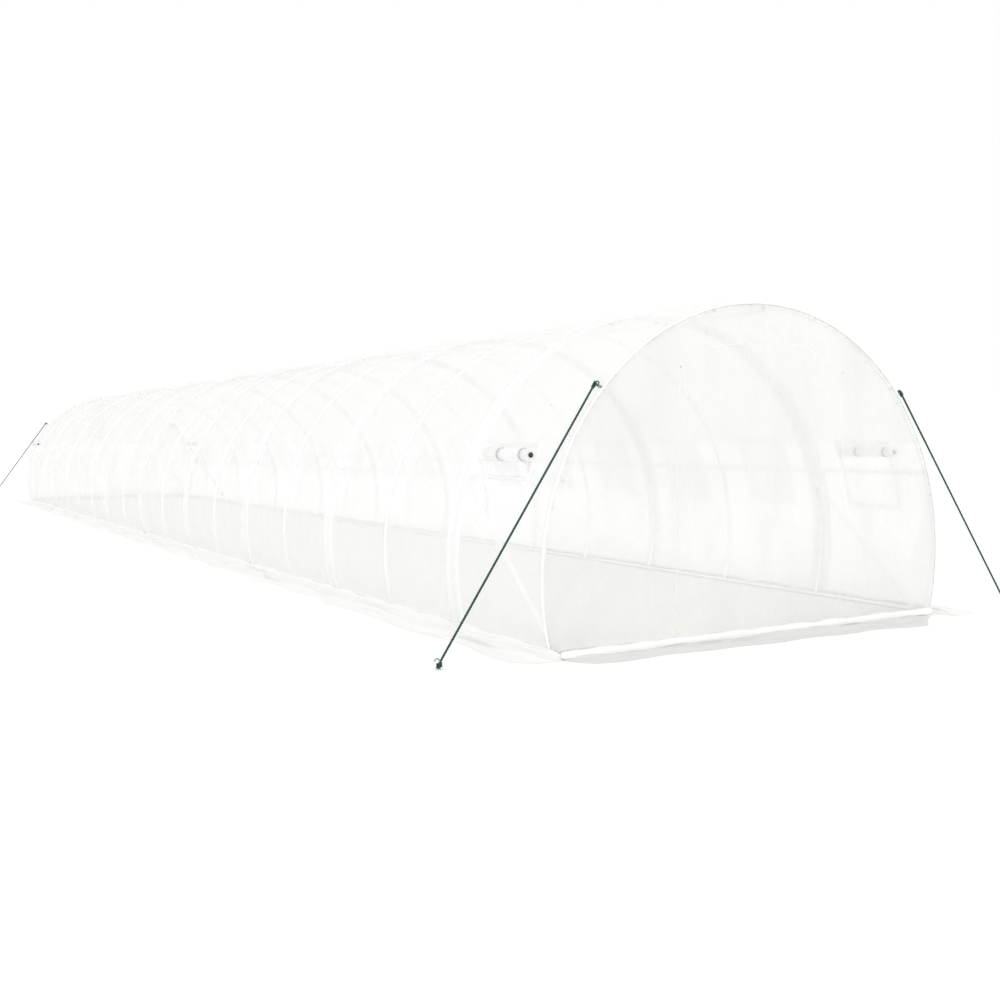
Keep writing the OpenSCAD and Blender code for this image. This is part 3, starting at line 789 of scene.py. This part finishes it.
# Rings and pegs: bent from round steel wire, the pegs driven into the ground with their hooked heads
# standing out. Zinc-plated, scuffed darker where the hammer and the rope rub.
SCUFFS_PER_MM = 0.09
zinc_wire, tree = new_material("zinc_plated_wire")
place = add(tree, "ShaderNodeTexCoord").outputs["Object"]
scuff = add(tree, "ShaderNodeTexNoise", {
    "Vector": place, "Scale": 1000 * SCUFFS_PER_MM, "Detail": 4.0})
tone = add(tree, "ShaderNodeValToRGB", {"Fac": scuff.outputs["Fac"]})
for stop, at, colour in zip(tone.color_ramp.elements, (0.35, 0.65), ("#8A8F92", "#B9BEC1")):
    stop.position = at
    stop.color = linear(colour)
rough = add(tree, "ShaderNodeMapRange", {"Value": scuff.outputs["Fac"], "To Min": 0.55, "To Max": 0.3})
wire = add(tree, "ShaderNodeBsdfPrincipled", {
    "Base Color": tone.outputs["Color"], "Metallic": 1.0, "Roughness": rough.outputs["Result"]})
add(tree, "ShaderNodeOutputMaterial", {"Surface": wire.outputs[0]})
finish_nodes(("rope_eyelets", "ground_pegs"), zinc_wire)

# Studio floor: a plain white floor that runs out of sight and keeps the tunnel's soft shadow. A strip of
# it under the tunnel is painted greyer, a painted shade, so the film shows where wall meets floor.
FLOORS = (
    {"name": "floor", "finish": "white_studio_floor", "colour": "#F8F8F7",
     "half": (300.0, 300.0), "z": 0.0},
    {"name": "painted_shade_strip", "finish": "painted_shade_studio_floor", "colour": "#EEEEEC",
     "half": (1.47, 9.13), "z": 0.0005},
)
for floor in FLOORS:
    finish, tree = new_material(floor["finish"])
    matt = add(tree, "ShaderNodeBsdfDiffuse", {"Color": linear(floor["colour"])})
    add(tree, "ShaderNodeOutputMaterial", {"Surface": matt.outputs[0]})
    half_x, half_y = floor["half"]
    mesh = bpy.data.meshes.new(floor["name"])
    mesh.from_pydata(
        [(x * half_x, y * half_y, floor["z"]) for x, y in ((-1, -1), (1, -1), (1, 1), (-1, 1))],
        [], [(0, 1, 2, 3)])
    mesh.materials.append(finish)
    plane = bpy.data.objects.new(floor["name"], mesh)
    bpy.context.scene.collection.objects.link(plane)

# Light: an even white sky and one broad soft sun from beyond the front left corner. The sky is plain
# white where it is seen, straight on, in a glossy face or through a clear one.
sky = bpy.data.worlds.new("studio_sky")
sky.use_nodes = True
tree = sky.node_tree
tree.nodes.clear()
path = add(tree, "ShaderNodeLightPath")
seen = path.outputs["Is Camera Ray"]
for kind in ("Is Glossy Ray", "Is Transmission Ray"):
    seen = add(tree, "ShaderNodeMath", {0: seen, 1: path.outputs[kind]}, operation="MAXIMUM").outputs[0]
light = add(tree, "ShaderNodeBackground", {"Color": linear("#FDFDFF"), "Strength": 1.05})
white = add(tree, "ShaderNodeBackground", {"Color": linear("#FFFFFF"), "Strength": 1.0})
both = add(tree, "ShaderNodeMixShader", {0: seen, 1: light.outputs[0], 2: white.outputs[0]})
add(tree, "ShaderNodeOutputWorld", {"Surface": both.outputs[0]})
bpy.context.scene.world = sky


def aimed(name, data, ahead):
    """A lamp or camera in the scene, turned so that it looks along the direction ahead."""
    made = bpy.data.objects.new(name, data)
    made.rotation_mode = "QUATERNION"
    made.rotation_quaternion = Vector(ahead).to_track_quat("-Z", "Y")
    bpy.context.scene.collection.objects.link(made)
    return made


SUN_AHEAD = (0.42, 0.80, -0.43)
sun_lamp = bpy.data.lights.new("soft_sun", "SUN")
sun_lamp.energy = 0.93
sun_lamp.angle = np.radians(30)
aimed("soft_sun", sun_lamp, SUN_AHEAD)

# Camera: the photograph's view, from hip height beyond the front left corner, level but for three
# degrees down. Its place and direction come from hoop feet and the front arch in the photograph.
VIEW_FROM, VIEW_AHEAD = (-4.809, -14.157, 1.145), (0.5035, 0.8624, -0.0523)
camera_data = bpy.data.cameras.new("camera")
camera_data.lens = 41.6
camera_data.sensor_width = 36.0
camera_data.clip_end = 500
camera = aimed("camera", camera_data, VIEW_AHEAD)
camera.location = VIEW_FROM
bpy.context.scene.camera = camera
bpy.context.scene.view_settings.view_transform = "Standard"
